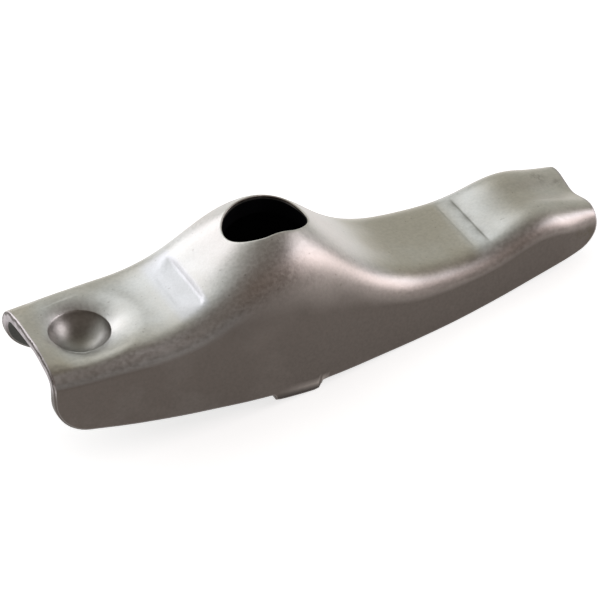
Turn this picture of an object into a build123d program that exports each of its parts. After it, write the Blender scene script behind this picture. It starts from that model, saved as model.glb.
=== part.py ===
from build123d import *
from math import asin, atan2, cos, degrees, exp, hypot, radians, sin, sqrt, tan
import os

# A stud-mounted rocker arm pressed from one sheet of steel, lying with its channel facing down.
# x runs from the pushrod end (-) to the valve end (+), y across the arm and z up; sizes in mm.

# The sheet and the ends of the channel
sheet = 2.2
pushrod_end = -31.3
valve_end = 45.4

# The hump that houses the fulcrum ball
hump_x = 0.9
hump_height = 9.9
hump_spread = 10.0
shoulder_spread = 10.8
crown_drop = 0.75
shoulder_lean = 28.5
end_crown = 0.25
end_lean = 8.0
end_crown_start = -19.0

# The web beyond the hump, the valve pad and its two guide rails
valve_web_drop = 1.0
web_drop_start = 6.0
web_drop_end = 20.0
pad_x = 36.9
pad_rise = 2.3
pad_lead = 6.8
pad_tail = 8.0
rail_height = 0.75
rail_start = 31.0
rail_full = 40.0
tip_start = 40.0
tip_rise = 0.2
tip_narrow = 0.35
tip_tighten = 1.3

# The folds and the walls
half_width = 9.45
pushrod_draw_in = 1.45
pushrod_draw_start = -13.0
valve_draw_in = 2.2
valve_draw_start = 10.0
valve_draw_end = 46.0
fold_run_pushrod = 2.9
fold_run_valve = 3.8
fold_run_hump = 2.2
fold_run_change = 14.0
fold_drop = 3.2
fold_drop_hump = 3.2
fold_drop_lag = 4.0
wall_lean = 87.0
wall_lean_hump = 19.7
flare = 0.5
flare_hump = 0.9
foot = -13.0

# The trimmed lower edge of the walls
edge_pushrod = -9.0
edge_low_x = -9.0
edge_low = -10.8
edge_mid_x = 12.0
edge_mid = -9.9
edge_rest_x = 25.0
edge_rest = -8.4
edge_valve = -3.5
corner_pushrod = 3.6
corner_valve = 4.0

# The two tabs turned in under the hump
tab_start = -2.8
tab_finish = 3.85
tab_foot = -11.8
tab_lean = 22.0
tab_corner = 0.9

# The stud slot and the seat of the fulcrum ball beneath it
slot_x = 0.68
slot_length = 10.84
slot_width = 8.42
seat_radius = 7.6
seat_depth = 0.3

# The pressed cup for the pushrod ball
cup_x = -24.5
cup_ball = 4.6
cup_rim = 3.9
cup_lip = 1.25
cup_flare = 3.1
cup_wall = 1.7

# The relief coined at the foot of the hump and the crease before the pad
relief_x = -15.6
relief_radius = 7.6
relief_depth = 0.18
crease_x = 30.5
crease_radius = 3.5
crease_depth = 0.22

margin = 1.5
pulls = (1.0, 1.17, 1.0)
stations = 21


def bell(x, centre, spread):
    # A smooth swell, one at its centre and dying away on both sides
    return exp(-((x - centre) / spread) ** 2)


def ramp(x, start, finish):
    # A smooth change from zero at the start to one at the finish
    t = min(max((x - start) / (finish - start), 0), 1)
    return t * t * (3 - 2 * t)


def web_height(x):
    # The height of the outer face along the middle of the arm
    pad_spread = pad_lead if x < pad_x else pad_tail
    pad = pad_rise * bell(x, pad_x, pad_spread)
    low = valve_web_drop * ramp(x, web_drop_start, web_drop_end)
    return hump_height * bell(x, hump_x, hump_spread) - low + pad


def knots(x):
    # The four points each half section runs through, and its slope in degrees at each
    hump = bell(x, hump_x, shoulder_spread)
    tip = ramp(x, tip_start, valve_end)
    web = web_height(x) + tip_rise * tip
    arch = ramp(x, end_crown_start, pushrod_end)
    ridge = web - crown_drop * hump + rail_height * ramp(x, rail_start, rail_full)
    ridge -= end_crown * arch
    side = half_width - valve_draw_in * ramp(x, valve_draw_start, valve_draw_end)
    narrowing = (x - pushrod_draw_start) / (pushrod_end - pushrod_draw_start)
    side -= pushrod_draw_in * max(narrowing, 0) ** 2 + tip_narrow * tip
    widening = ramp(x, -fold_run_change, fold_run_change)
    run = fold_run_pushrod + (fold_run_valve - fold_run_pushrod) * widening
    run += fold_run_hump * hump - tip_tighten * tip
    drop = fold_drop + fold_drop_hump * bell(x, hump_x + fold_drop_lag, shoulder_spread)
    top = (0, web)
    fold = (side - run, ridge)
    wall = (side, ridge - drop)
    end = (side + flare + flare_hump * hump, foot)
    shoulder = shoulder_lean * hump + end_lean * arch
    slopes = (0, shoulder, wall_lean - wall_lean_hump * hump, wall_lean)
    return (top, fold, wall, end), slopes


def handles(start, finish, slope_start, slope_finish, pull):
    # The control points of a Bezier curve that leaves and arrives at the given slopes
    reach = pull * hypot(finish[0] - start[0], finish[1] - start[1]) / 3
    a = radians(slope_start)
    b = radians(slope_finish)
    near = (start[0] + reach * cos(a), start[1] - reach * sin(a))
    far = (finish[0] - reach * cos(b), finish[1] + reach * sin(b))
    return start, near, far, finish


def inside(x, i):
    # The knot one sheet inside knot i of the outer face, measured square to the steel
    marks, slopes = knots(x)
    before = knots(x - 0.01)[0][i]
    after = knots(x + 0.01)[0][i]
    ny = sin(radians(slopes[i]))
    nz = cos(radians(slopes[i]))
    lean = (ny * (after[0] - before[0]) + nz * (after[1] - before[1])) / 0.02
    thickness = sheet * sqrt(1 + lean ** 2)
    return marks[i][0] - ny * thickness, marks[i][1] - nz * thickness


# The formed channel: lofted through its cross-sections, outer and inner faces together
with BuildPart() as formed:
    for i in range(stations):
        x = pushrod_end - margin + (valve_end - pushrod_end + 2 * margin) * i / (stations - 1)
        marks, slopes = knots(x)
        lining = [inside(x, k) for k in range(4)]
        with BuildSketch(Plane.YZ.offset(x)) as section:
            with BuildLine() as outline:
                for k in range(3):
                    Bezier(*handles(marks[k], marks[k + 1], slopes[k], slopes[k + 1], pulls[k]))
                    Bezier(*handles(lining[k], lining[k + 1], slopes[k], slopes[k + 1], pulls[k]))
                Line(marks[3], lining[3])
                mirror(about=Plane.YZ)
            make_face()
    loft()

# The side view the walls are trimmed to, with rounded lower corners
with BuildPart() as trim:
    with BuildSketch(Plane.XZ) as side_view:
        with BuildLine() as edge:
            low = Spline(
                (pushrod_end, edge_pushrod),
                (edge_low_x, edge_low),
                (edge_mid_x, edge_mid),
                (edge_rest_x, edge_rest),
                (valve_end, edge_valve),
            )
            Line(low @ 1, (valve_end, 2 * hump_height))
            Line((valve_end, 2 * hump_height), (pushrod_end, 2 * hump_height))
            Line((pushrod_end, 2 * hump_height), low @ 0)
        make_face()
        fillet(side_view.vertices().group_by(Axis.X)[0].sort_by(Axis.Y)[0], corner_pushrod)
        fillet(side_view.vertices().group_by(Axis.X)[-1].sort_by(Axis.Y)[0], corner_valve)
    extrude(amount=2 * half_width, both=True)

cup_top = web_height(cup_x)
rim_z = cup_top - cup_lip
ball_z = rim_z + sqrt(cup_ball ** 2 - cup_rim ** 2)

with BuildPart() as pressed:
    add(formed.part)
    add(trim.part, mode=Mode.INTERSECT)

    # The dome of the pushrod cup, standing below the web
    with BuildSketch(Plane.XZ) as dome_side:
        with Locations((cup_x, ball_z)):
            Circle(cup_ball + cup_wall)
        with Locations((cup_x, cup_top - sheet / 2)):
            Rectangle(30, 30, align=(Align.CENTER, Align.MIN), mode=Mode.SUBTRACT)
        with Locations((cup_x, 0)):
            Rectangle(30, 60, align=(Align.MAX, Align.CENTER), mode=Mode.SUBTRACT)
    revolve(axis=Axis((cup_x, 0, 0), (0, 0, 1)))

    # The cup itself, its lip rolled over from the web
    with BuildSketch(Plane.XZ) as cup_side:
        with BuildLine() as cup_line:
            bottom = (cup_x, ball_z - cup_ball)
            rim = (cup_x + cup_rim, rim_z)
            lip = (cup_x + cup_rim + cup_flare, cup_top)
            ThreePointArc(
                bottom, (cup_x + cup_ball * sin(radians(30)), ball_z - cup_ball * cos(radians(30))), rim
            )
            lip_radius = (cup_flare ** 2 + cup_lip ** 2) / (2 * cup_lip)
            half_turn = asin(cup_flare / lip_radius) / 2
            middle = (
                lip[0] - lip_radius * sin(half_turn),
                cup_top - lip_radius * (1 - cos(half_turn)),
            )
            ThreePointArc(rim, middle, lip)
            Line(lip, (lip[0], cup_top + 1))
            Line((lip[0], cup_top + 1), (cup_x, cup_top + 1))
            Line((cup_x, cup_top + 1), bottom)
        make_face()
    revolve(axis=Axis((cup_x, 0, 0), (0, 0, 1)), mode=Mode.SUBTRACT)

    # The relief at the foot of the hump and the crease before the pad, struck across the web
    with BuildSketch(Plane.XZ) as struck:
        with Locations((relief_x, web_height(relief_x) - relief_depth + relief_radius)):
            Circle(relief_radius)
        with Locations((crease_x, web_height(crease_x) - crease_depth + crease_radius)):
            Circle(crease_radius)
    extrude(amount=half_width, both=True, mode=Mode.SUBTRACT)

    # The seat struck into the underside of the hump by the fulcrum ball
    reach = seat_radius - seat_depth
    span = [hump_x + reach * i / 20 for i in range(20)]
    seat_z = min(inside(x, 0)[1] - sqrt(reach ** 2 - (x - hump_x) ** 2) for x in span)
    with Locations((hump_x, 0, seat_z)):
        Sphere(seat_radius, mode=Mode.SUBTRACT)

    # The stud slot
    with BuildSketch(Plane.XY.offset(hump_height / 3)) as slot:
        with Locations((slot_x, 0)):
            SlotOverall(slot_length, slot_width)
    extrude(amount=hump_height, mode=Mode.SUBTRACT)

    # The tabs, turned in from the walls' lower edges
    marks, slopes = knots((tab_start + tab_finish) / 2)
    root_z = edge_low + sheet / 2
    root_y = marks[3][0] - (root_z - foot) / tan(radians(wall_lean))
    inset = (root_z - tab_foot) * tan(radians(tab_lean))
    width = sheet / cos(radians(tab_lean))
    with BuildSketch(Plane.YZ.offset(tab_start)) as tab_section:
        with BuildLine() as tab_line:
            Polyline(
                (root_y, root_z),
                (root_y - inset, tab_foot),
                (root_y - inset - width, tab_foot),
                (root_y - width, root_z),
                close=True,
            )
        make_face()
        mirror(about=Plane.YZ)
    extrude(amount=tab_finish - tab_start)
    tab_ends = pressed.edges().filter_by(Axis.Y).group_by(Axis.Z)[0].group_by(Axis.X)[-1]
    fillet(tab_ends, tab_corner)

# At rest the arm rocks over onto the ends of its tabs and the walls' edge before the pad. The
# stud's axis meets the plane it lies on at the origin.
rest_pitch = atan2(edge_rest - tab_foot, edge_rest_x - tab_finish + tab_corner)
lift = (tab_finish - tab_corner) * sin(rest_pitch) - (tab_foot + tab_corner) * cos(rest_pitch)
lift += tab_corner
stud_foot = slot_x / cos(rest_pitch) - lift * tan(rest_pitch)
with BuildPart() as rocker_arm:
    with Locations(Location((-stud_foot, 0, lift), (0, degrees(rest_pitch), 0))):
        add(pressed.part)

os.makedirs("parts", exist_ok=True)
rocker_arm.part.label = "rocker_arm"
export_step(rocker_arm.part, "parts/rocker_arm.step")
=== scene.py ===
import math

import bpy
import numpy as np
from mathutils import Euler, Matrix, Vector


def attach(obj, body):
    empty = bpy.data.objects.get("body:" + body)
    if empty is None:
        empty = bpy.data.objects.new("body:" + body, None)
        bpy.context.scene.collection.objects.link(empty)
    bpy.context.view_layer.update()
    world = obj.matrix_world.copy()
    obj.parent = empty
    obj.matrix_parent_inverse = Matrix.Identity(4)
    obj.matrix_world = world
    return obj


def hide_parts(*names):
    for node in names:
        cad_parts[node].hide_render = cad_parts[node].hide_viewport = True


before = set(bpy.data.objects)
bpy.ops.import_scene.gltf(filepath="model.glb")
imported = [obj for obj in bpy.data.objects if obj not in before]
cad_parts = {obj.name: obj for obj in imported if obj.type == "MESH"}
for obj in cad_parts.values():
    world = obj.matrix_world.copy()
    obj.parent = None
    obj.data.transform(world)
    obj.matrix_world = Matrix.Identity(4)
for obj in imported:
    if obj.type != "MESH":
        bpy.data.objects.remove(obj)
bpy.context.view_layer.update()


# ---------------------------------------------------------------- rocker arm
# A stud-mounted rocker arm, pressed and pierced from one 2.2 mm sheet of low-carbon steel, then
# case-hardened and tumbled, which leaves a satin grey skin; the folds read paler because the walls
# below them carry painted shade. Sizes in mm, x along the arm from the pushrod end, y across it,
# z up, in the axes of its own web.

SHEET = 2.2
PUSHROD_END, VALVE_END = -31.3, 45.4
CUT_ROUND = 0.3

# the web: fulcrum hump, the drop beyond it, valve pad, guide rails, drawn tip, arched pushrod end
HUMP_X, HUMP_HEIGHT, HUMP_SPREAD = 0.9, 9.9, 10.0
SHOULDER_SPREAD, SHOULDER_DROP, SHOULDER_LEAN = 10.8, 0.75, 28.5
WEB_DROP, WEB_DROP_START, WEB_DROP_END = 1.0, 6, 20
PAD_X, PAD_RISE, PAD_LEAD, PAD_TAIL = 36.9, 2.3, 6.8, 8.0
RAIL_HEIGHT, RAIL_START, RAIL_FULL = 0.75, 31, 40
TIP_START, TIP_RISE, TIP_NARROW, TIP_TIGHTEN = 40, 0.2, 0.35, 1.3
ARCH_START, ARCH_DROP, ARCH_LEAN = -19.0, 0.25, 8

# the walls: half width, how far each end is drawn in, run and drop of the folds, lean of the walls
HALF_WIDTH = 9.45
PUSHROD_DRAW_IN, PUSHROD_DRAW_START = 1.45, -13
VALVE_DRAW_IN, VALVE_DRAW_START, VALVE_DRAW_END = 2.2, 10, 46
FOLD_RUN, FOLD_RUN_GAIN, FOLD_RUN_HUMP, FOLD_CHANGE = 2.9, 0.9, 2.2, 14
FOLD_DROP, FOLD_DROP_HUMP, FOLD_DROP_LAG, FOLD_PULL = 3.2, 3.2, 4, 1.17
WALL_FLARE, WALL_FLARE_HUMP, WALL_LEAN, WALL_LEAN_HUMP = 0.5, 0.9, 87, 19.7
FOOT = -13.0

# the pushrod end: its far wall stands out and is cut shorter, its near shoulder droops, and the
# sheet is drawn thinner
FAR_SPREAD, FAR_RISE, FAR_RISE_START, FAR_RISE_END = 0.07, 2.1, 20, 30
NEAR_DROOP, DROOP_START, DROOP_FULL = 0.55, 1.5, 5.5
THINNING, THINNING_START, THINNING_END = 0.36, 25.5, 31


def bell(x, centre, spread):
    """A smooth swell: e to the minus square of the distance over the spread."""
    return np.exp(-(((x - centre) / spread) ** 2))


def ramp(x, start, finish):
    """Zero before start, one after finish, and 3t squared minus 2t cubed between them."""
    t = np.clip((x - start) / (finish - start), 0, 1)
    return t * t * (3 - 2 * t)


def web_height(x):
    """Height of the outer face along the middle: a bell for the hump, a ramp down, a bell for the pad."""
    pad = PAD_RISE * bell(x, PAD_X, np.where(x < PAD_X, PAD_LEAD, PAD_TAIL))
    return HUMP_HEIGHT * bell(x, HUMP_X, HUMP_SPREAD) - WEB_DROP * ramp(x, WEB_DROP_START, WEB_DROP_END) + pad


def drawn_in(x):
    """Share of the pushrod end's drawing in: the square of the way from its start to the end."""
    return np.maximum((x - PUSHROD_DRAW_START) / (PUSHROD_END - PUSHROD_DRAW_START), 0) ** 2


def arched(x):
    """Share of the pushrod end's arch, a ramp to the end."""
    return ramp(-x, -ARCH_START, -PUSHROD_END)


def knots(x):
    """The four points each half section runs through, and its slopes there in radians."""
    x = np.asarray(x, float)
    hump = bell(x, HUMP_X, SHOULDER_SPREAD)
    tip = ramp(x, TIP_START, VALVE_END)
    web = web_height(x) + TIP_RISE * tip
    arch = arched(x)
    ridge = web - SHOULDER_DROP * hump + RAIL_HEIGHT * ramp(x, RAIL_START, RAIL_FULL) - ARCH_DROP * arch
    side = HALF_WIDTH - VALVE_DRAW_IN * ramp(x, VALVE_DRAW_START, VALVE_DRAW_END)
    side = side - PUSHROD_DRAW_IN * drawn_in(x) - TIP_NARROW * tip
    run = FOLD_RUN + FOLD_RUN_GAIN * ramp(x, -FOLD_CHANGE, FOLD_CHANGE) + FOLD_RUN_HUMP * hump
    run = run - TIP_TIGHTEN * tip
    drop = FOLD_DROP + FOLD_DROP_HUMP * bell(x, HUMP_X + FOLD_DROP_LAG, SHOULDER_SPREAD)
    y = np.stack([0 * x, side - run, side, side + WALL_FLARE + WALL_FLARE_HUMP * hump], -1)
    z = np.stack([web, ridge, ridge - drop, 0 * x + FOOT], -1)
    lean = np.stack([0 * x, SHOULDER_LEAN * hump + ARCH_LEAN * arch,
                     WALL_LEAN - WALL_LEAN_HUMP * hump, 0 * x + WALL_LEAN], -1)
    return y, z, np.radians(lean)


def half_section(x, v, depth=0.0):
    """y and z at v from 0 (middle) to 3 (foot): Hermite curves between the knots, which move
    inwards, square to the steel, by depth."""
    y, z, lean = knots(x)
    if depth:
        step = 0.01
        y0, z0, _ = knots(x - step)
        y1, z1, _ = knots(x + step)
        slope = (np.sin(lean) * (y1 - y0) + np.cos(lean) * (z1 - z0)) / (2 * step)
        thinned = 1 - THINNING * ramp(-np.asarray(x, float), THINNING_START, THINNING_END)
        thick = depth * thinned[..., None] * np.sqrt(1 + slope**2)
        y = y - np.sin(lean) * thick
        z = z - np.cos(lean) * thick
    i = np.clip(v.astype(int), 0, 2)
    t = v - i

    def at(values, k):
        return np.take_along_axis(values, (i + k)[..., None], -1)[..., 0]

    ya, yb, za, zb = at(y, 0), at(y, 1), at(z, 0), at(z, 1)
    a, b = at(lean, 0), at(lean, 1)
    reach = np.hypot(yb - ya, zb - za) * np.where(i == 1, FOLD_PULL, 1.0)
    keep, leave = 2 * t**3 - 3 * t**2 + 1, (t**3 - 2 * t**2 + t) * reach
    arrive, settle = 3 * t**2 - 2 * t**3, (t**3 - t**2) * reach
    py = keep * ya + leave * np.cos(a) + arrive * yb + settle * np.cos(b)
    pz = keep * za - leave * np.sin(a) + arrive * zb - settle * np.sin(b)
    return py, pz


WHOLE_SECTION, TO_THE_FOLD, HALVINGS = 2.999, 1.999, 34


def v_at(x, target, depth=0.0, by_height=False):
    """The v at which the half section reaches a distance from the middle, or a height, by halving."""
    lo = np.zeros_like(target)
    hi = np.full_like(target, WHOLE_SECTION if by_height else TO_THE_FOLD)
    for _ in range(HALVINGS):
        mid = (lo + hi) / 2
        y, z = half_section(x, mid, depth)
        beyond = z < target if by_height else y > target
        hi = np.where(beyond, mid, hi)
        lo = np.where(beyond, lo, mid)
    return (lo + hi) / 2


# what the die strikes: the relief's flat and its riser, the two facets before the pad (start,
# depth and fade), and the pushrod cup inside its flared lip. FLAT_UNTIL is the v at which marks and
# dents of the web have faded out, and ABOVE and BELOW are heights out of a tool's reach.
RELIEF_START, RELIEF_RISER, RELIEF_END, RELIEF_EDGE = -13, -10.3, -8.6, 0.07
RELIEF_HEIGHT, RELIEF_SLOPE, RISER_SLOPE = 1.43, 0.39, 0.9
RISER_TURN, RISER_TURN_Y, RELIEF_CURL, RELIEF_CURL_Y = 0.2, 4.6, 0.02, 2
PAD_FACETS = ((28.0, 0.12, 1.3), (30.15, 0.20, 1.6))
FACET_STEP, FACET_FULL, FACET_OUT = 0.3, 4.4, 5.6
CUP_X, CUP_BALL, CUP_RIM, CUP_LIP, CUP_FLARE, CUP_WALL = -24.5, 4.25, 3.9, 1.25, 4.0, 1.7
CUP_TILT, CUP_EDGE, FLARE_POWER, DOME_BLEND = 0.08, 0.04, 2.2, 0.9
DENT, FINE_DENT, WALL_DENT = 0.020, 0.007, 0.8
FLAT_UNTIL = 2.2
ABOVE, BELOW = 50.0, -50.0


def lower(z, tool, blend):
    """The lower of two heights, rounded over where they meet."""
    gap = np.clip(1 - np.abs(z - tool) / blend, 0, 1)
    return np.minimum(z, tool) - gap**2 * blend / 4


def ball_under(r, radius):
    """Height of a ball's underside at distance r from the cup's middle, and far above beyond it.
    The cup's seat and the dome under it share one centre, set so that the seat meets the rim."""
    middle = float(web_height(np.array(CUP_X))) - CUP_LIP + math.sqrt(CUP_BALL**2 - CUP_RIM**2)
    return np.where(r < radius, middle - np.sqrt(np.maximum(radius**2 - r**2, 0)), ABOVE)


def struck(x, y, z):
    """Height of the outer face once struck: lowered to a slanting flat at the foot of the hump with a
    steep riser along its upper edge, set down at each facet's start, then lowered to the cup."""
    riser = np.maximum(x - RELIEF_RISER + RISER_TURN * np.maximum(-y - RISER_TURN_Y, 0) ** 3, 0)
    relief = RELIEF_HEIGHT + RELIEF_SLOPE * (x - RELIEF_START) + RISER_SLOPE * riser + riser**2
    relief = relief + RELIEF_CURL * np.maximum(y - RELIEF_CURL_Y, 0) ** 2
    relief = np.where((x >= RELIEF_START) & (x <= RELIEF_END), relief, ABOVE)
    z = lower(z, relief, RELIEF_EDGE)
    across = ramp(-np.abs(y), -FACET_OUT, -FACET_FULL)
    for start, deep, fade in PAD_FACETS:
        z = z - across * deep * ramp(x, start - FACET_STEP, start) * np.exp(-np.maximum(x - start, 0) / fade)
    r = np.hypot(x - CUP_X, y)
    near_rim = np.clip((CUP_RIM + CUP_FLARE - r) / CUP_FLARE, 0, 1)
    tilt = CUP_TILT * y * near_rim
    return lower(z - CUP_LIP * near_rim**FLARE_POWER + tilt, ball_under(r, CUP_BALL) + tilt, CUP_EDGE)


def dents(x, y):
    """Slow unevenness of the drawn sheet: a few crossed sine waves, hundredths of a mm high."""
    slow = np.sin(0.61 * x + 0.47 * y + 0.9) * np.sin(0.23 * x - 0.71 * y + 2.1)
    fine = np.sin(1.37 * x - 0.83 * y + 4.0) * np.sin(0.91 * x + 1.21 * y + 0.4)
    return DENT * slow + FINE_DENT * fine


def end_set(x, y, z, flat):
    """The pushrod end as it springs back: the far wall stands out, the near shoulder droops."""
    y = y * (1 + FAR_SPREAD * (y > 0) * drawn_in(x))
    return y, z - NEAR_DROOP * arched(x) * ramp(-y, DROOP_START, DROOP_FULL) * flat


def face_point(x, side, v, depth=0.0):
    """A point of the outer face, or of the inner face one sheet inside it, from x and v, on the side
    where y has the given sign. Only the outer face has the die's marks."""
    y, z = half_section(x, v, depth)
    flat = np.clip(FLAT_UNTIL - v, 0, 1)
    y, z = end_set(x, y * side, z, flat)
    if not depth:
        z = z + flat * (struck(x, y, z) - z)
    z = z + flat * dents(x, y)
    y = y + (1 - flat) * side * WALL_DENT * dents(x + 3, z * 1.3)
    return np.stack([x, y, z], -1)


# the trimmed edge: the points it passes through, its corners, and the tab that is bent in a little
EDGE_POINTS = ((PUSHROD_END, -9.15), (-9.0, -10.9), (12.0, -9.9), (25.0, -8.4), (VALVE_END, -3.5))
CORNER_PUSHROD, CORNER_VALVE = 4.7, 4.0
TAB_START, TAB_FINISH, TAB_FOOT = -2.8, 3.85, -11.8
TAB_ROOT_ROUND, TAB_CORNER = 0.3, 0.6
TAB_BEND, TAB_BEND_SLOPE, TAB_BEND_ROUND, TAB_LEAN = -10.45, 0.06, 0.35, 4.0


def spline(points, x):
    """Natural cubic through a few points: the second slopes come from one small linear system."""
    px, pz = np.array(points).T
    h = np.diff(px)
    n = len(px)
    system = np.eye(n)
    right = np.zeros(n)
    for k in range(1, n - 1):
        system[k, k - 1:k + 2] = h[k - 1], 2 * (h[k - 1] + h[k]), h[k]
        right[k] = 6 * ((pz[k + 1] - pz[k]) / h[k] - (pz[k] - pz[k - 1]) / h[k - 1])
    m = np.linalg.solve(system, right)
    k = np.clip(np.searchsorted(px, x) - 1, 0, n - 2)
    a, b, g = px[k + 1] - x, x - px[k], h[k]
    value = m[k] * a**3 / (6 * g) + m[k + 1] * b**3 / (6 * g)
    return value + (pz[k] / g - m[k] * g / 6) * a + (pz[k + 1] / g - m[k + 1] * g / 6) * b


def edge_height(x):
    """Height of the cut, without its tab, at one x."""
    return spline(EDGE_POINTS, np.array([x]))[0]


def arc(centre, radius, start, finish, count):
    """Points on a circle in the side view, from one angle to another, in degrees."""
    angle = np.radians(np.linspace(start, finish, count))
    return np.stack([centre[0] + radius * np.cos(angle), centre[1] + radius * np.sin(angle)], -1)


def trimmed_edge(inset):
    """The lower edge of a wall in the side view, inset from the cut: corner arc, spline, the tab's
    two hollow and two round corners, spline, corner arc."""
    pushrod_x, valve_x = PUSHROD_END + CORNER_PUSHROD, VALVE_END - CORNER_VALVE
    centre = pushrod_x, edge_height(pushrod_x) + CORNER_PUSHROD
    pushrod = arc(centre, CORNER_PUSHROD - inset, 180, 268, 14)
    tilt = math.atan((edge_height(valve_x + 0.1) - edge_height(valve_x - 0.1)) / 0.2)
    centre = valve_x, edge_height(valve_x) + CORNER_VALVE / math.cos(tilt)
    valve = arc(centre, CORNER_VALVE - inset, 270 + math.degrees(tilt), 360, 14)
    runs = []
    for start, finish in ((pushrod_x, TAB_START - TAB_ROOT_ROUND), (TAB_FINISH + TAB_ROOT_ROUND, valve_x)):
        x = np.linspace(start + 0.4, finish - 0.02, 60)
        runs.append(np.stack([x, spline(EDGE_POINTS, x) + inset], -1))
    corners = []
    for x, inwards in ((TAB_START, 1), (TAB_FINISH, -1)):
        root = x - inwards * TAB_ROOT_ROUND, edge_height(x) - TAB_ROOT_ROUND
        hollow = arc(root, TAB_ROOT_ROUND + inset, 90, 90 - inwards * 86, 7)
        centre = x + inwards * TAB_CORNER, TAB_FOOT + TAB_CORNER
        corners.append((hollow, arc(centre, TAB_CORNER - inset, 180 if inwards > 0 else 0, 270, 9)))
    (first_hollow, first_round), (last_hollow, last_round) = corners
    foot = np.linspace(TAB_START + TAB_CORNER, TAB_FINISH - TAB_CORNER, 16)[1:-1]
    foot = np.stack([foot, 0 * foot + TAB_FOOT + inset], -1)
    line = np.concatenate([pushrod, runs[0], first_hollow, first_round, foot, last_round[::-1],
                           last_hollow[::-1], runs[1], valve])
    keep = np.concatenate([[True], np.diff(np.maximum.accumulate(line[:, 0])) > 1e-6])
    return line[keep]


def lower_border(columns, inset):
    """For each column of the grid, its x and z on the trimmed edge: evenly spaced by the edge's own
    length round the corners, by x elsewhere."""
    line = trimmed_edge(inset)
    s = np.concatenate([[0], np.cumsum(np.hypot(*np.diff(line, axis=0).T))])
    before_tab, in_tab = 1.3, 1.6
    marks = [PUSHROD_END + inset, PUSHROD_END + CORNER_PUSHROD + 0.6, TAB_START - before_tab,
             TAB_START + in_tab, TAB_FINISH - in_tab, TAB_FINISH + before_tab,
             VALVE_END - CORNER_VALVE - 0.8, VALVE_END - inset]
    at = np.interp(marks, line[:, 0], s)
    at[0], at[-1] = 0, s[-1]
    want = np.interp(columns, marks, at)
    return np.interp(want, s, line[:, 0]), np.interp(want, s, line[:, 1])


def turn_tabs(p, side):
    """Leans the tabs inwards below a slanting bend line, with a rounded bend."""
    x, y, z = p[..., 0], p[..., 1], p[..., 2]
    below = TAB_BEND + TAB_BEND_SLOPE * (x - (TAB_START + TAB_FINISH) / 2) - z
    below = (below + np.sqrt(below**2 + TAB_BEND_ROUND**2)) / 2
    along = ramp(x, TAB_START - 0.5, TAB_START + 0.4) * ramp(-x, -TAB_FINISH - 0.5, -TAB_FINISH + 0.4)
    turned = p.copy()
    turned[..., 1] = y - side * along * math.tan(math.radians(TAB_LEAN)) * below
    return turned


# the grid of each face: columns along the arm, closer where it is struck (where each stretch ends,
# and its count of columns with both ends), and rows on each side of the middle
STRETCHES = ((-28, 14), (-17, 33), (-8.6, 44), (27, 90), (33, 49), (42, 25), (VALVE_END - CUT_ROUND, 14))
ROWS = 52
TAB_CLEAR, EDGE_PULL_FROM = 1.4, 0.55

stops = [PUSHROD_END + CUT_ROUND] + [finish for finish, _ in STRETCHES]
columns = [np.linspace(start, finish, count)[:-1] for start, (finish, count) in zip(stops, STRETCHES)]
spacing = np.concatenate(columns + [stops[-1:]])
tau = np.concatenate([-np.linspace(1, 0, ROWS + 1), np.linspace(0, 1, ROWS + 1)[1:]])
edge_x, edge_z = lower_border(spacing, CUT_ROUND)
clear = (edge_x < TAB_START - TAB_CLEAR) | (edge_x > TAB_FINISH + TAB_CLEAR)
plain_z = np.interp(spacing, edge_x[clear], edge_z[clear])


def body_grid(depth):
    """Points of one face over the whole arm, and their v: columns by x, rows by share of the half
    section, with the last rows drawn to the trimmed edge, which rises at the far wall's pushrod end."""
    share = np.abs(tau)
    pull = ramp(share, EDGE_PULL_FROM, 1.0)
    x = spacing[:, None] + pull * (edge_x - spacing)[:, None]
    v = 0 * x
    far_z = edge_z + FAR_RISE * ramp(-edge_x, FAR_RISE_START, FAR_RISE_END)
    for low, rows in ((edge_z, tau < 0), (far_z, tau >= 0)):
        v_edge = v_at(edge_x, low, depth, by_height=True)
        v_plain = v_at(spacing, plain_z + low - edge_z, depth, by_height=True)
        v[:, rows] = (share * v_plain[:, None] + pull * (v_edge - v_plain)[:, None])[:, rows]
    side = np.where(tau < 0, -1.0, 1.0) + 0 * x
    p = face_point(x.ravel(), side.ravel(), v.ravel(), depth).reshape(*x.shape, 3)
    return turn_tabs(p, side), v


def face_at(plan, depth):
    """Height of the outer face (depth 0) or the inner face over points of the plan."""
    x, y = plan[..., 0].ravel(), plan[..., 1].ravel()
    v = v_at(x, np.abs(y), depth)
    return face_point(x, np.where(y < 0, -1.0, 1.0), v, depth)[:, 2].reshape(plan.shape[:-1])


# the stud slot and, under the hump, the seat of the fulcrum ball. Each frame is the half length and
# half width of the cells left open round a hole.
SLOT_X, SLOT_HALF_LENGTH, SLOT_HALF_WIDTH, SLOT_EDGE = 0.68, 5.42, 4.21, 0.35
SEAT_RADIUS, SEAT_DEPTH, SEAT_BREAK = 7.6, 0.3, 0.12
SLOT_FRAME, CUP_FRAME = (7.3, 7.2), (6.0, 5.6)


def seat_height(plan):
    """Height of the ball's seat over the plan: the top of a sphere under the hump."""
    r2 = (plan[..., 0] - HUMP_X) ** 2 + plan[..., 1] ** 2
    reach = SEAT_RADIUS - SEAT_DEPTH
    x = HUMP_X + reach * np.arange(20) / 20
    _, z = half_section(x, 0 * x, SHEET)
    low = np.min(z - np.sqrt(reach**2 - (x - HUMP_X) ** 2))
    return np.where(r2 < SEAT_RADIUS**2, low + np.sqrt(np.maximum(SEAT_RADIUS**2 - r2, 0)), BELOW)


def stadium(p, grow=0.0):
    """The point of the slot's outline, grown by a margin, nearest to each point p of the plan."""
    spine = SLOT_HALF_LENGTH - SLOT_HALF_WIDTH
    q = np.stack([np.clip(p[:, 0], SLOT_X - spine, SLOT_X + spine), 0 * p[:, 1]], -1)
    away = p - q
    away = away / np.linalg.norm(away, axis=1, keepdims=True)
    return q + (SLOT_HALF_WIDTH + grow) * away


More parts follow.
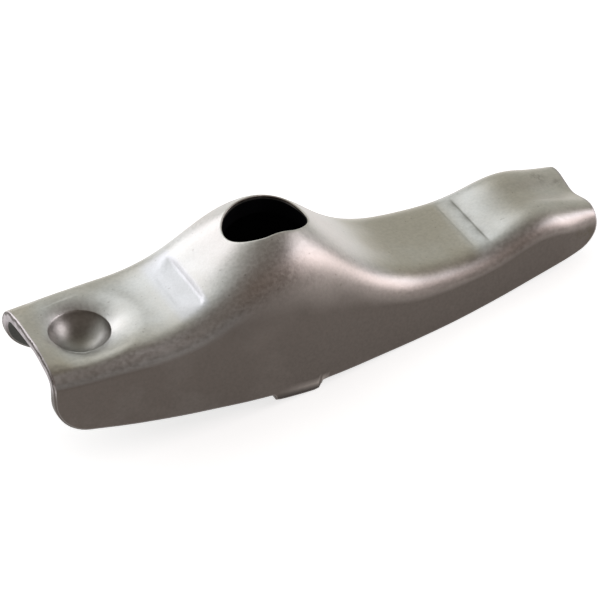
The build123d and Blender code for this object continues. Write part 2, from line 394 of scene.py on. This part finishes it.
def circle(p, radius):
    """The point at that radius from the cup's middle, towards each point p of the plan."""
    away = p - np.array([CUP_X, 0])
    return np.array([CUP_X, 0]) + radius * away / np.linalg.norm(away, axis=1, keepdims=True)


def raised(plan, z):
    """Points of the plan with their heights."""
    return np.concatenate([plan, z[..., None]], -1)


OUTER, INNER, CUT_FIRST, CUT_LAST, SLOT_WALL = 0.0, 1.0, 2.0, 3.0, 4.0


class Shell:
    """Collects grids of points and their faces into one mesh. Each point has a kind: on the outer or
    the inner face, from first to last across the sheared edge, or on the slot's wall."""

    def __init__(self):
        self.points, self.faces, self.kinds, self.count = [], [], [], 0

    def add(self, points, kind=OUTER):
        """Adds a grid of points and gives back their numbers in the same arrangement."""
        shape = np.shape(points)[:-1]
        points = np.asarray(points, float).reshape(-1, 3)
        self.points.append(points)
        self.kinds.append(np.broadcast_to(np.asarray(kind, float).ravel(), len(points)) + 0.0)
        self.count += len(points)
        return np.arange(self.count - len(points), self.count).reshape(shape)

    def sheet(self, index, keep=None, flip=False):
        """Quads over a grid of vertex numbers."""
        a, b, c, d = index[:-1, :-1], index[1:, :-1], index[1:, 1:], index[:-1, 1:]
        quads = np.stack([a, b, c, d], -1)
        quads = quads[keep] if keep is not None else quads.reshape(-1, 4)
        self.faces.append(quads[:, ::-1] if flip else quads)

    def at(self, index):
        """The points that have these numbers."""
        return np.concatenate(self.points)[index]


def cells_round(x, reach, y_reach):
    """First and last column and row of the rectangle of cells that a hole at x is set in."""
    first, last = np.searchsorted(spacing, (x - reach, x + reach))
    rows = np.where(np.abs(outer_points[(first + last) // 2, :, 1]) < y_reach)[0]
    return first, last, rows[0], rows[-1]


def rim_of(index, cells):
    """Vertex numbers round the rectangle, anticlockwise seen from above."""
    i0, i1, j0, j1 = cells
    return np.concatenate([index[i0:i1, j0], index[i1, j0:j1], index[i1:i0:-1, j1], index[i0, j1:j0:-1]])


def open_cells(shape, holes):
    """Marks the cells of a grid that lie outside every hole's rectangle."""
    keep = np.ones((shape[0] - 1, shape[1] - 1), bool)
    for i0, i1, j0, j1 in holes:
        keep[i0:i1, j0:j1] = False
    return keep


def rings(start, target, shares):
    """Plan points between the rectangle's rim and the hole's outline, one row for each share."""
    return start[None] + np.asarray(shares)[:, None, None] * (target - start)[None]


def closed(index):
    """The rings with their first point once more at the end."""
    return np.concatenate([index, index[:, :1]], 1)


shell = Shell()
outer_points, _ = body_grid(0.0)
slot_cells = cells_round(SLOT_X, *SLOT_FRAME)
cup_cells = cells_round(CUP_X, *CUP_FRAME)
open_grid = open_cells(outer_points.shape, (slot_cells, cup_cells))
outer_index = shell.add(outer_points)
shell.sheet(outer_index, open_grid)

# the inner face, with the ball's seat pressed up into it and the dome of the cup hanging from it
inner_points, inner_v = body_grid(SHEET)
height = inner_points[..., 2]
seated = np.maximum(height, seat_height(inner_points[..., :2]))
height = np.where(np.abs(inner_points[..., 1]) < SEAT_RADIUS, seated, height)
from_cup = np.hypot(inner_points[..., 0] - CUP_X, inner_points[..., 1])
domed = lower(height, ball_under(from_cup, CUP_BALL + CUP_WALL), DOME_BLEND)
inner_points[..., 2] = np.where(inner_v < 2, domed, height)
inner_index = shell.add(inner_points, INNER)
shell.sheet(inner_index, open_grid, flip=True)

# the slot: a ring of cells down to its rolled edge on the outer face, another on the seat
shares = np.linspace(0, 1, 10)[1:] ** 0.8
start = rim_of(outer_index, slot_cells)
start_plan = shell.at(start)[:, :2]
mouth = stadium(start_plan, SLOT_EDGE)
plan = rings(start_plan, mouth, shares)
z = face_at(plan, 0.0)
ring = np.concatenate([start[None], shell.add(raised(plan, z))])
shell.sheet(closed(ring), flip=True)
lip = raised(mouth, z[-1])
corner_plan = stadium(start_plan)
corner = raised(corner_plan, face_at(corner_plan[None], 0.0)[0])
under = corner - np.array([0, 0, SLOT_EDGE])
t = np.linspace(0, 1, 7)[1:, None, None]
roll = (1 - t) ** 2 * lip + 2 * t * (1 - t) * corner + t**2 * under
roll_index = np.concatenate([ring[-1:], shell.add(roll)])
shell.sheet(closed(roll_index), flip=True)

start = rim_of(inner_index, slot_cells)
start_plan = shell.at(start)[:, :2]
plan = rings(start_plan, stadium(start_plan, SEAT_BREAK), shares)
z = np.maximum(face_at(plan, SHEET), seat_height(plan))
seat_ring = np.concatenate([start[None], shell.add(raised(plan, z), INNER)])
shell.sheet(closed(seat_ring))

# the slot's wall, from the rolled edge to the seat
foot = stadium(start_plan)
down = raised(foot, seat_height(foot) + SEAT_BREAK)
t = np.linspace(0, 1, 9)[1:, None, None]
wall = roll[-1] + t * (down - roll[-1])
wall_index = np.concatenate([roll_index[-1:], shell.add(wall, SLOT_WALL), seat_ring[-1:]])
shell.sheet(closed(wall_index), flip=True)

# the cup on the outer face and its dome on the inner one: rings, closer at the cup's rim, to a
# small disc closed by a fan
rim_radii = (4.06, 3.98, 3.93, CUP_RIM, 3.87, 3.82, 3.7)
cup_radii = np.concatenate([np.linspace(5.2, 4.2, 8), rim_radii, np.linspace(3.5, 0.3, 18)])
dome_radii = np.linspace(5.0, 0.35, 22)
for index, depth, kind, radii in ((outer_index, 0.0, OUTER, cup_radii),
                                  (inner_index, SHEET, INNER, dome_radii)):
    start = rim_of(index, cup_cells)
    start_plan = shell.at(start)[:, :2]
    plan = rings(start_plan, circle(start_plan, radii[0]), np.linspace(0, 1, 5)[1:-1])
    round_cup = np.stack([circle(start_plan, r) for r in radii])
    plan = np.concatenate([plan, round_cup, np.tile([[[CUP_X, 0.0]]], (1, len(start), 1))])
    z = face_at(plan, depth)
    if depth:
        from_cup = np.hypot(plan[..., 0] - CUP_X, plan[..., 1])
        z = lower(z, ball_under(from_cup, CUP_BALL + CUP_WALL), DOME_BLEND)
    made = raised(plan, z)
    body = np.concatenate([start[None], shell.add(made[:-1], kind)])
    shell.sheet(closed(body), flip=not depth)
    last, following = body[-1], np.roll(body[-1], -1)
    pole = np.full_like(last, shell.add(made[-1, :1], kind)[0])
    shell.faces.append(np.stack([last, pole, following] if depth else [last, following, pole], -1))


def border(index):
    """Vertex numbers round the whole face, in the same order as rim_of."""
    return rim_of(index, (0, index.shape[0] - 1, 0, index.shape[1] - 1))


def unit(vectors):
    """The same directions at length one."""
    return vectors / np.linalg.norm(vectors, axis=1, keepdims=True)


# the sheared edge all round: rolled over at both faces by quarter circles, cut square between them
outer_ring, inner_ring = border(outer_index), border(inner_index)
outer_edge, inner_edge = shell.at(outer_ring), shell.at(inner_ring)
across = unit(inner_edge - outer_edge)
ahead = unit(np.roll(outer_edge, -1, 0) - np.roll(outer_edge, 1, 0))
out = unit(np.cross(across, ahead))
gap = np.linalg.norm(inner_edge - outer_edge, axis=1, keepdims=True)
turns = np.radians(np.linspace(0, 90, 6)[1:])
strip = [outer_edge + CUT_ROUND * out * math.sin(turn) + CUT_ROUND * across * (1 - math.cos(turn))
         for turn in turns]
strip += [outer_edge + CUT_ROUND * out + across * (CUT_ROUND + (gap - 2 * CUT_ROUND) * share)
          for share in (0.25, 0.5, 0.75, 1.0)]
strip += [inner_edge + CUT_ROUND * out * math.cos(turn) - CUT_ROUND * across * (1 - math.sin(turn))
          for turn in turns[:-1]]
strip = np.stack(strip)
cut_kinds = np.broadcast_to(np.linspace(CUT_FIRST, CUT_LAST, len(strip))[:, None], strip.shape[:2])
shell.sheet(closed(np.concatenate([outer_ring[None], shell.add(strip, cut_kinds), inner_ring[None]])))

# the arm lies on the tabs' rounded feet and on the edge nearer the valve end, and the stud's line
# meets the floor at the origin
REST_X, REST_Z = EDGE_POINTS[3]
REST_CORNER = 0.9

co, kind = np.concatenate(shell.points), np.concatenate(shell.kinds)
used = np.zeros(len(co), bool)
for block in shell.faces:
    used[block] = True
renumber = np.cumsum(used) - 1
co, kind = co[used], kind[used]
pitch = math.atan2(REST_Z - TAB_FOOT, REST_X - TAB_FINISH + REST_CORNER)
sn, cs = math.sin(pitch), math.cos(pitch)
lift = (TAB_FINISH - REST_CORNER) * sn - (TAB_FOOT + REST_CORNER) * cs + REST_CORNER
stud = SLOT_X / cs - lift * sn / cs
placed = np.stack([co[:, 0] * cs + co[:, 2] * sn - stud, co[:, 1],
                   -co[:, 0] * sn + co[:, 2] * cs + lift], -1) / 1000
mesh = bpy.data.meshes.new("rocker_arm_skin")
mesh.from_pydata(placed.tolist(), [], [f for block in shell.faces for f in renumber[block].tolist()])
mesh.update()
mesh.polygons.foreach_set("use_smooth", np.ones(len(mesh.polygons), bool))
arm = bpy.data.objects.new("rocker_arm_skin", mesh)
bpy.context.scene.collection.objects.link(arm)


def store(name, values):
    """Keeps one value for each vertex of the arm under a name that the steel reads."""
    kept = mesh.attributes.new(name, "FLOAT", "POINT")
    kept.data.foreach_set("value", np.asarray(values, np.float32))


# masks from 0 to 1 for each vertex, by its place in the arm's own axes and how far it faces up
SMUDGES = ((43.3, -7.2, -2.2, 1.3), (41.75, 2.84, 1.6, 0.8), (44.15, 1.64, 1.0, 0.7))

normal = np.zeros(3 * len(co))
mesh.vertices.foreach_get("normal", normal)
normal = normal.reshape(-1, 3)
upward = normal[:, 2] * cs + normal[:, 0] * sn
x, y, z = co.T
outside = kind == OUTER
inside = (kind == INNER) | (kind == SLOT_WALL)
sheared = (kind >= CUT_FIRST) & (kind <= CUT_LAST)

# painted shade: the outer walls darkened the more they face sideways or down, and a painted highlight along
# the tab's bend where that darkening is lifted
bend_highlight = bell(z, TAB_BEND, 0.3) * ramp(x, TAB_START - 0.2, TAB_FINISH) * (x < TAB_FINISH + 0.5)
store("wall_painted_shade", (1 - ramp(upward, 0.19, 0.66)) * (1 - 0.55 * bend_highlight) * outside)
# painted reflection: a warm tint on the sideways-facing outer faces, strongest on the folds, fainter on the
# pushrod side of the hump
store("side", (1 - ramp(upward, 0.60, 0.92)) * outside * (1 - 0.8 * ramp(-x, 4, 9)))
# painted reflection: a greenish tint on the up-facing flats of the web, beyond the hump as far as the
# facets, the pad's end, the pushrod end, the hump's middle and the shoulders beside the cup
flat_reflection_tint = 0.15 + 0.75 * ramp(x, 2, 9) * ramp(-x, -29.2, -26.9) + 0.65 * ramp(x, 32, 37)
flat_reflection_tint = flat_reflection_tint + 0.65 * ramp(-x, 27, 30) + 0.45 * bell(x, 0, 6)
flat_reflection_tint = flat_reflection_tint + 0.45 * ramp(np.abs(y), 3.5, 7.0) * ramp(-x, 10, 14)
store("flat_reflection_tint", np.clip(flat_reflection_tint * ramp(upward, 0.72, 0.93), 0, 1))
# painted shade in the bottom of the cup, cold light grey in the relief, painted shade along the second
# facet's crease
cup_painted_shade = bell(np.hypot(x - CUP_X - 0.5, y - 1.0), 0, 2.7)
store("cup", cup_painted_shade * (np.hypot(x - CUP_X, y) < CUP_RIM) * outside)
pocket = ramp(x, -14.4, -13.0) * ramp(-x, 9.6, 10.1) * ramp(-y, -7.5, -5.0) * ramp(y, -7.4, -5.8)
store("pocket", pocket * outside)
# painted shade along the second facet's crease, uneven along it
crease = bell(x, 29.95, 0.6) * (0.65 + 0.35 * np.sin(1.9 * y + 0.6)) * ramp(-np.abs(y), -5.2, -4.4)
store("crease", crease * outside)
# greasy smudges near the valve end
smudge = np.zeros(len(co))
for at_x, at_y, at_z, reach in SMUDGES:
    smudge += bell(np.hypot(np.hypot(x - at_x, y - at_y), z - at_z), 0, reach)
store("smudge", np.clip(smudge, 0, 1) * outside)
# painted shade: the whole inner face darkened, the channel darkest and without sheen under the slot, and the
# tab's lower half darkened
tab_shade = ramp(-z, 11.1, 11.5) * (x > TAB_START - 0.3) * (x < TAB_FINISH + 0.3)
unlit = np.where(kind == SLOT_WALL, 1.0, inside * ramp(-np.abs(x - SLOT_X), -20, -9))
store("inside", inside)
store("deep", np.maximum(unlit, 0.6 * tab_shade * outside))
store("unlit", unlit)
# the sheared edge, how far through the sheet each point lies, and the upper part that shows bands
store("cut", sheared)
store("through", np.where(sheared, kind - CUT_FIRST, 0.0))
store("bright_cut", sheared * ramp(z, -4.6, -2.2))

# bare bright steel, and the greenish tint of the flats' painted reflection
BRIGHT_STEEL, FLAT_REFLECTION_OLIVE = (0.60, 0.60, 0.59, 1), (0.43, 0.395, 0.33, 1)
# next line: the folds' warm painted reflection tint, then the walls' dark brown painted shade
FOLD_REFLECTION_TINT, WALL_SHADE_BROWN = (0.52, 0.455, 0.415, 1), (0.106, 0.090, 0.080, 1)
# the dark tint of the cup's painted shade, and the relief's cold light grey
CUP_SHADE, POCKET_GREY = (0.135, 0.115, 0.085, 1), (0.54, 0.55, 0.60, 1)
# rust for the pits, grease for the smudges, and the crease's painted shade
PIT_RUST, SMUDGE_GREASE, CREASE_SHADE = (0.13, 0.11, 0.09, 1), (0.09, 0.075, 0.05, 1), (0.12, 0.11, 0.09, 1)
# painted shade for the inner face, and near black painted shade for the channel and the tab's lower half
INSIDE_SHADE, DEEP_SHADE_BLACK = (0.065, 0.065, 0.06, 1), (0.006, 0.006, 0.007, 1)
CUT_EDGE, CUT_BAND, CUT_ROLLED = (0.11, 0.094, 0.085, 1), (0.10, 0.085, 0.08, 1), (0.50, 0.46, 0.46, 1)
TORN_DULL, TORN_PALE = (0.30, 0.27, 0.285, 1), (0.42, 0.385, 0.40, 1)
ROUGHNESS, BUMP_STRENGTH, BUMP_DISTANCE = 0.39, 0.12, 0.0001

steel = bpy.data.materials.new("tumbled_steel")
steel.use_nodes = True
tree = steel.node_tree
shader = tree.nodes["Principled BSDF"]


def put(graph, kind_name, inputs=None, **settings):
    """One node of a material, with its settings and with its inputs linked or set."""
    node = graph.nodes.new(kind_name)
    for key, value in settings.items():
        setattr(node, key, value)
    for key, value in (inputs or {}).items():
        if isinstance(value, bpy.types.NodeSocket):
            graph.links.new(value, node.inputs[key])
        else:
            node.inputs[key].default_value = value
    return node


def field(name):
    """One of the arm's stored masks."""
    return put(tree, "ShaderNodeAttribute", attribute_name=name).outputs["Fac"]


def noise(scale, detail=2.0, rough=0.5):
    """Cloudy pattern fixed to the steel, finer with a larger scale."""
    inputs = {"Vector": place, "Scale": scale, "Detail": detail, "Roughness": rough}
    return put(tree, "ShaderNodeTexNoise", inputs).outputs["Fac"]


def spread(value, low, high, out_low=0.0, out_high=1.0):
    """Stretches a value's range, clamped, with a smooth start and finish."""
    inputs = {"Value": value, "From Min": low, "From Max": high, "To Min": out_low, "To Max": out_high}
    return put(tree, "ShaderNodeMapRange", inputs, interpolation_type="SMOOTHSTEP").outputs["Result"]


def sums(operation, a, b):
    """Two values added, subtracted or multiplied."""
    return put(tree, "ShaderNodeMath", {0: a, 1: b}, operation=operation).outputs[0]


def mix(share, a, b, how="MIX"):
    """Colour b laid over colour a by a share."""
    return put(tree, "ShaderNodeMix", {0: share, 6: a, 7: b}, data_type="RGBA", blend_type=how).outputs[2]


place = put(tree, "ShaderNodeTexCoord").outputs["Object"]
clouds = noise(90.0, 4.0, 0.6)
mottle = noise(2300.0, 3.0, 0.6)
grain = noise(5200.0, 2.0, 0.7)
tear = noise(700.0, 3.0, 0.7)
pits = spread(noise(1500.0, 1.0), 0.735, 0.77)
blots = spread(noise(900.0, 3.0, 0.7), 0.36, 0.58)

# the cut from the outer face inwards: a shiny rolled rim, a dark band, then paler torn steel
band = sums("ADD", spread(tear, 0.3, 0.7, -0.07, 0.07), field("through"))
cut_face = mix(spread(tear, 0.35, 0.62), TORN_DULL, TORN_PALE)
cut_face = mix(spread(band, 0.46, 0.36), cut_face, CUT_BAND)
cut_face = mix(spread(band, 0.17, 0.10), cut_face, CUT_ROLLED)

# the flats' greenish painted reflection, cloudy
flat_tint_share = sums("ADD", spread(clouds, 0.3, 0.7, -0.16, 0.16), field("flat_reflection_tint"))
# the walls' painted shade, a little cloudy
wall_shade_share = sums("ADD", spread(clouds, 0.3, 0.7, -0.03, 0.03), field("wall_painted_shade"))
colour = mix(flat_tint_share, BRIGHT_STEEL, FLAT_REFLECTION_OLIVE)
# tints laid over the steel in turn: painted reflection on the folds, painted shade on the walls, cup, crease,
# inner face, channel and tab, then real pits and smudges and the cut's colours
for share, tint in ((sums("MULTIPLY", field("side"), 0.85), FOLD_REFLECTION_TINT),
                    # the walls' painted shade
                    (wall_shade_share, WALL_SHADE_BROWN),
                    # the cup's painted shade
                    (sums("MULTIPLY", field("cup"), 0.85), CUP_SHADE),
                    (sums("MULTIPLY", field("pocket"), 0.5), POCKET_GREY),
                    (sums("MULTIPLY", pits, 0.30), PIT_RUST),
                    (sums("MULTIPLY", sums("MULTIPLY", field("smudge"), blots), 0.7), SMUDGE_GREASE),
                    # the crease's painted shade
                    (sums("MULTIPLY", field("crease"), 0.42), CREASE_SHADE),
                    # painted shade on the inner face, then in the channel and on the tab's lower half
                    (field("inside"), INSIDE_SHADE),
                    (field("deep"), DEEP_SHADE_BLACK),
                    (field("cut"), CUT_EDGE),
                    (field("bright_cut"), cut_face)):
    colour = mix(share, colour, tint)
speckle = spread(mottle, 0.25, 0.75, 0.91, 1.09)
shade = put(tree, "ShaderNodeCombineColor", {0: speckle, 1: speckle, 2: speckle}).outputs[0]
tree.links.new(mix(1.0, colour, shade, "MULTIPLY"), shader.inputs["Base Color"])

# steel all over but for the unlit channel, which has no mirror either
tree.links.new(sums("SUBTRACT", 1.0, field("unlit")), shader.inputs["Metallic"])
shader.inputs["Specular IOR Level"].default_value = 0.0
tree.links.new(sums("ADD", spread(mottle, 0.3, 0.7, -0.05, 0.05), ROUGHNESS), shader.inputs["Roughness"])
height = sums("ADD", mottle, sums("MULTIPLY", grain, 0.35))
bump = put(tree, "ShaderNodeBump", {"Height": height, "Strength": BUMP_STRENGTH, "Distance": BUMP_DISTANCE})
tree.links.new(bump.outputs["Normal"], shader.inputs["Normal"])
mesh.materials.append(steel)
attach(arm, "root")
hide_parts("rocker_arm")


# ---------------------------------------------------------------- floor, light and camera
# A plain pale floor in a soft studio: a large light far to the left, another to the near right, a
# smaller one overhead, a dim room behind the camera and a paler one beyond. Sizes in metres.

FLOOR_REACH, FLOOR_GREY, FLOOR_GLOW = 3, 0.86, 0.72
ROOM_DIM, ROOM_PALE = (0.185, 0.158, 0.14, 1), (0.70, 0.72, 0.69, 1)
ROOM_DIM_UNTIL, ROOM_PALE_FROM = -0.25, 0.55
LAMP_DISTANCE = 0.8
CAMERA_PLACE, CAMERA_TURN = (-0.12385, -0.33013, 0.29214), (51.3967, 6.4312, -27.0439)

r = FLOOR_REACH
floor_mesh = bpy.data.meshes.new("floor")
floor_mesh.from_pydata([(-r, -r, 0), (r, -r, 0), (r, r, 0), (-r, r, 0)], [], [(0, 1, 2, 3)])
floor = bpy.data.objects.new("floor", floor_mesh)
bpy.context.scene.collection.objects.link(floor)
pale = bpy.data.materials.new("pale_floor")
pale.use_nodes = True
board = pale.node_tree
matt = board.nodes["Principled BSDF"]
matt.inputs["Base Color"].default_value = (FLOOR_GREY, FLOOR_GREY, FLOOR_GREY, 1)
matt.inputs["Roughness"].default_value = 0.95
matt.inputs["Specular IOR Level"].default_value = 0.1
matt.inputs["Emission Color"].default_value = (1, 1, 1, 1)
rays = put(board, "ShaderNodeLightPath").outputs
seen = rays["Is Camera Ray"]
for ray in ("Is Glossy Ray", "Is Transmission Ray"):
    seen = put(board, "ShaderNodeMath", {0: seen, 1: rays[ray]}, operation="MAXIMUM").outputs[0]
glow = put(board, "ShaderNodeMath", {0: seen, 1: FLOOR_GLOW}, operation="MULTIPLY").outputs[0]
board.links.new(glow, matt.inputs["Emission Strength"])
floor_mesh.materials.append(pale)

world = bpy.data.worlds.new("studio")
bpy.context.scene.world = world
world.use_nodes = True
room = world.node_tree
heading = put(room, "ShaderNodeTexCoord").outputs["Generated"]
away = put(room, "ShaderNodeSeparateXYZ", {0: heading}).outputs["Y"]
from_dim = {"Value": away, "From Min": ROOM_DIM_UNTIL, "From Max": ROOM_PALE_FROM}
beyond = put(room, "ShaderNodeMapRange", from_dim, interpolation_type="SMOOTHSTEP").outputs["Result"]
blend = put(room, "ShaderNodeMix", {0: beyond, 6: ROOM_DIM, 7: ROOM_PALE}, data_type="RGBA").outputs[2]
room.links.new(blend, room.nodes["Background"].inputs["Color"])
room.nodes["Background"].inputs["Strength"].default_value = 1.0


def soft_light(name, azimuth, elevation, size, radiance, colour):
    """A square lamp of the given brightness that faces the arm from a compass direction."""
    a, e = math.radians(azimuth), math.radians(elevation)
    toward = Vector((math.sin(a) * math.cos(e), math.cos(a) * math.cos(e), math.sin(e)))
    lamp = bpy.data.lights.new(name, "AREA")
    lamp.shape = "SQUARE"
    lamp.size = size
    lamp.energy = radiance * math.pi * size**2
    lamp.color = colour
    stand = bpy.data.objects.new(name, lamp)
    bpy.context.scene.collection.objects.link(stand)
    stand.matrix_world = (Matrix.Translation(toward * LAMP_DISTANCE)
                          @ toward.to_track_quat("Z", "Y").to_matrix().to_4x4())


soft_light("window_far_left", -24, 24, 0.50, 1.62, (0.96, 0.94, 1.0))
soft_light("window_right", 112, 24, 0.46, 2.6, (1.0, 0.95, 1.0))
soft_light("skylight", -4, 44, 0.36, 1.0, (0.94, 0.96, 1.0))

lens = bpy.data.cameras.new("camera")
lens.lens = 216.3
lens.sensor_width = 36
lens.shift_x = -0.02643
lens.shift_y = -0.06858
lens.clip_start, lens.clip_end = 0.01, 20
camera = bpy.data.objects.new("camera", lens)
bpy.context.scene.collection.objects.link(camera)
camera.matrix_world = (Matrix.Translation(CAMERA_PLACE)
                       @ Euler([math.radians(a) for a in CAMERA_TURN]).to_matrix().to_4x4())
bpy.context.scene.camera = camera
bpy.context.scene.view_settings.view_transform = "Standard"
